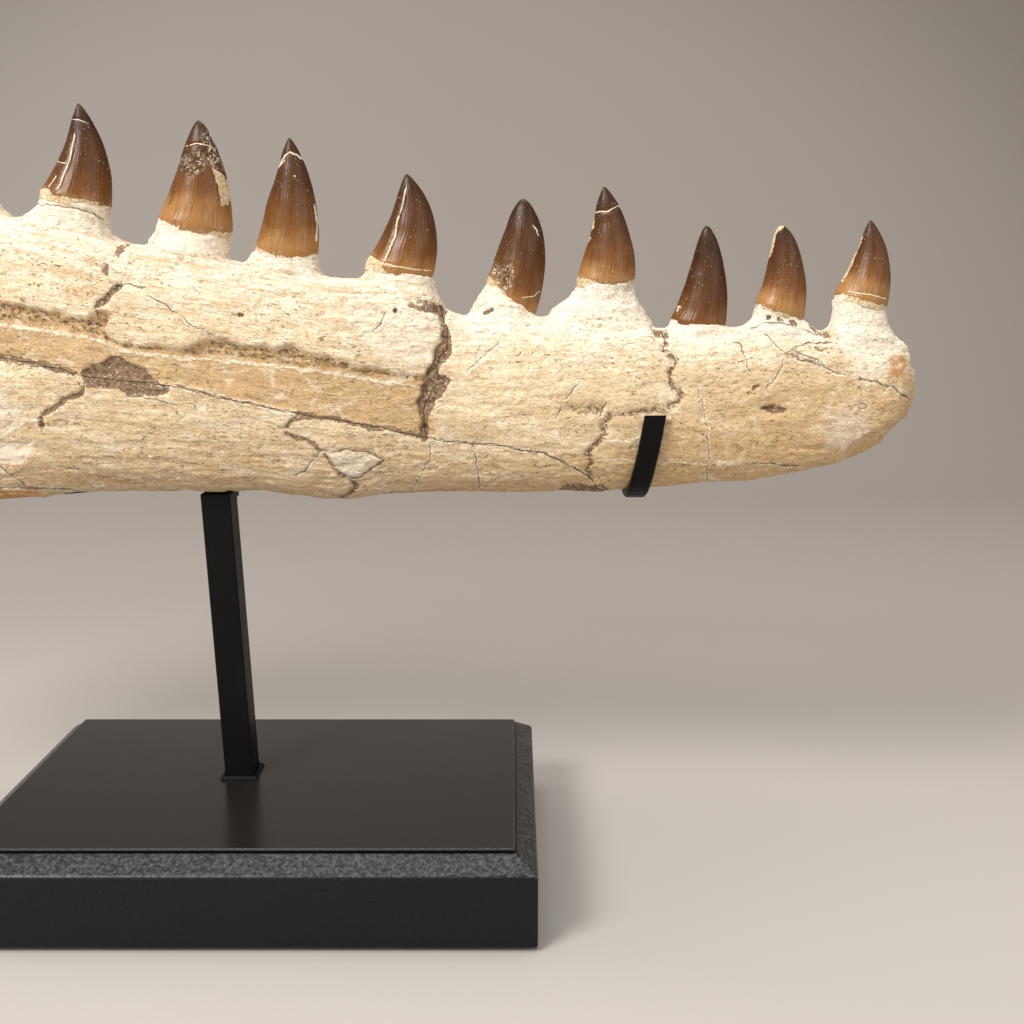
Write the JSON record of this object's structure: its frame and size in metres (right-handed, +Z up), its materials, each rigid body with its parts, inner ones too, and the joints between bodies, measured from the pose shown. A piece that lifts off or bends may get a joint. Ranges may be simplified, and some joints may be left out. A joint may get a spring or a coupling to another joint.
{
  "type": "fossil mosasaur jaw on a stand",
  "caption": "Front of a mosasaur's lower jaw with curved teeth, mended from broken lengths, held level on a post and bevelled base by padded straps.",
  "frame": {"origin": "centre of the underside of the base's felt, where the stand meets the table", "axes": "+X along the jaw towards its tip, -Y out of the jaw's inner face, +Z up"},
  "size_m": [0.5771, 0.1544, 0.3406],
  "materials": {
    "fossil_bone": "matt cream to tan fossil bone with darker pores and cracks",
    "tooth_enamel": "glossy brown enamel, darkest at the point, amber at the base",
    "black_lacquer": "satin black",
    "black_steel": "satin black paint on steel",
    "felt": "black felt"
  },
  "bodies": {
    "root": {"dentary_rear": "fossil_bone", "dentary_middle": "fossil_bone", "dentary_front": "fossil_bone", "splenial": "fossil_bone", "tooth_01": "tooth_enamel", "tooth_02": "tooth_enamel", "tooth_03": "tooth_enamel", "tooth_04": "tooth_enamel", "tooth_05": "tooth_enamel", "tooth_06": "tooth_enamel", "tooth_07": "tooth_enamel", "tooth_08": "tooth_enamel", "tooth_09": "tooth_enamel", "tooth_10": "tooth_enamel", "tooth_11": "tooth_enamel", "tooth_12": "tooth_enamel", "tooth_13": "tooth_enamel", "stand_base": "black_lacquer", "stand_panel": "black_lacquer", "stand_felt": "felt", "stand_post": "black_steel", "stand_post_collar": "black_steel", "stand_spine": "black_steel", "stand_tab": "black_steel", "stand_strap_front": "black_steel", "stand_strap_rear": "black_steel"}
  },
  "joints": []
}
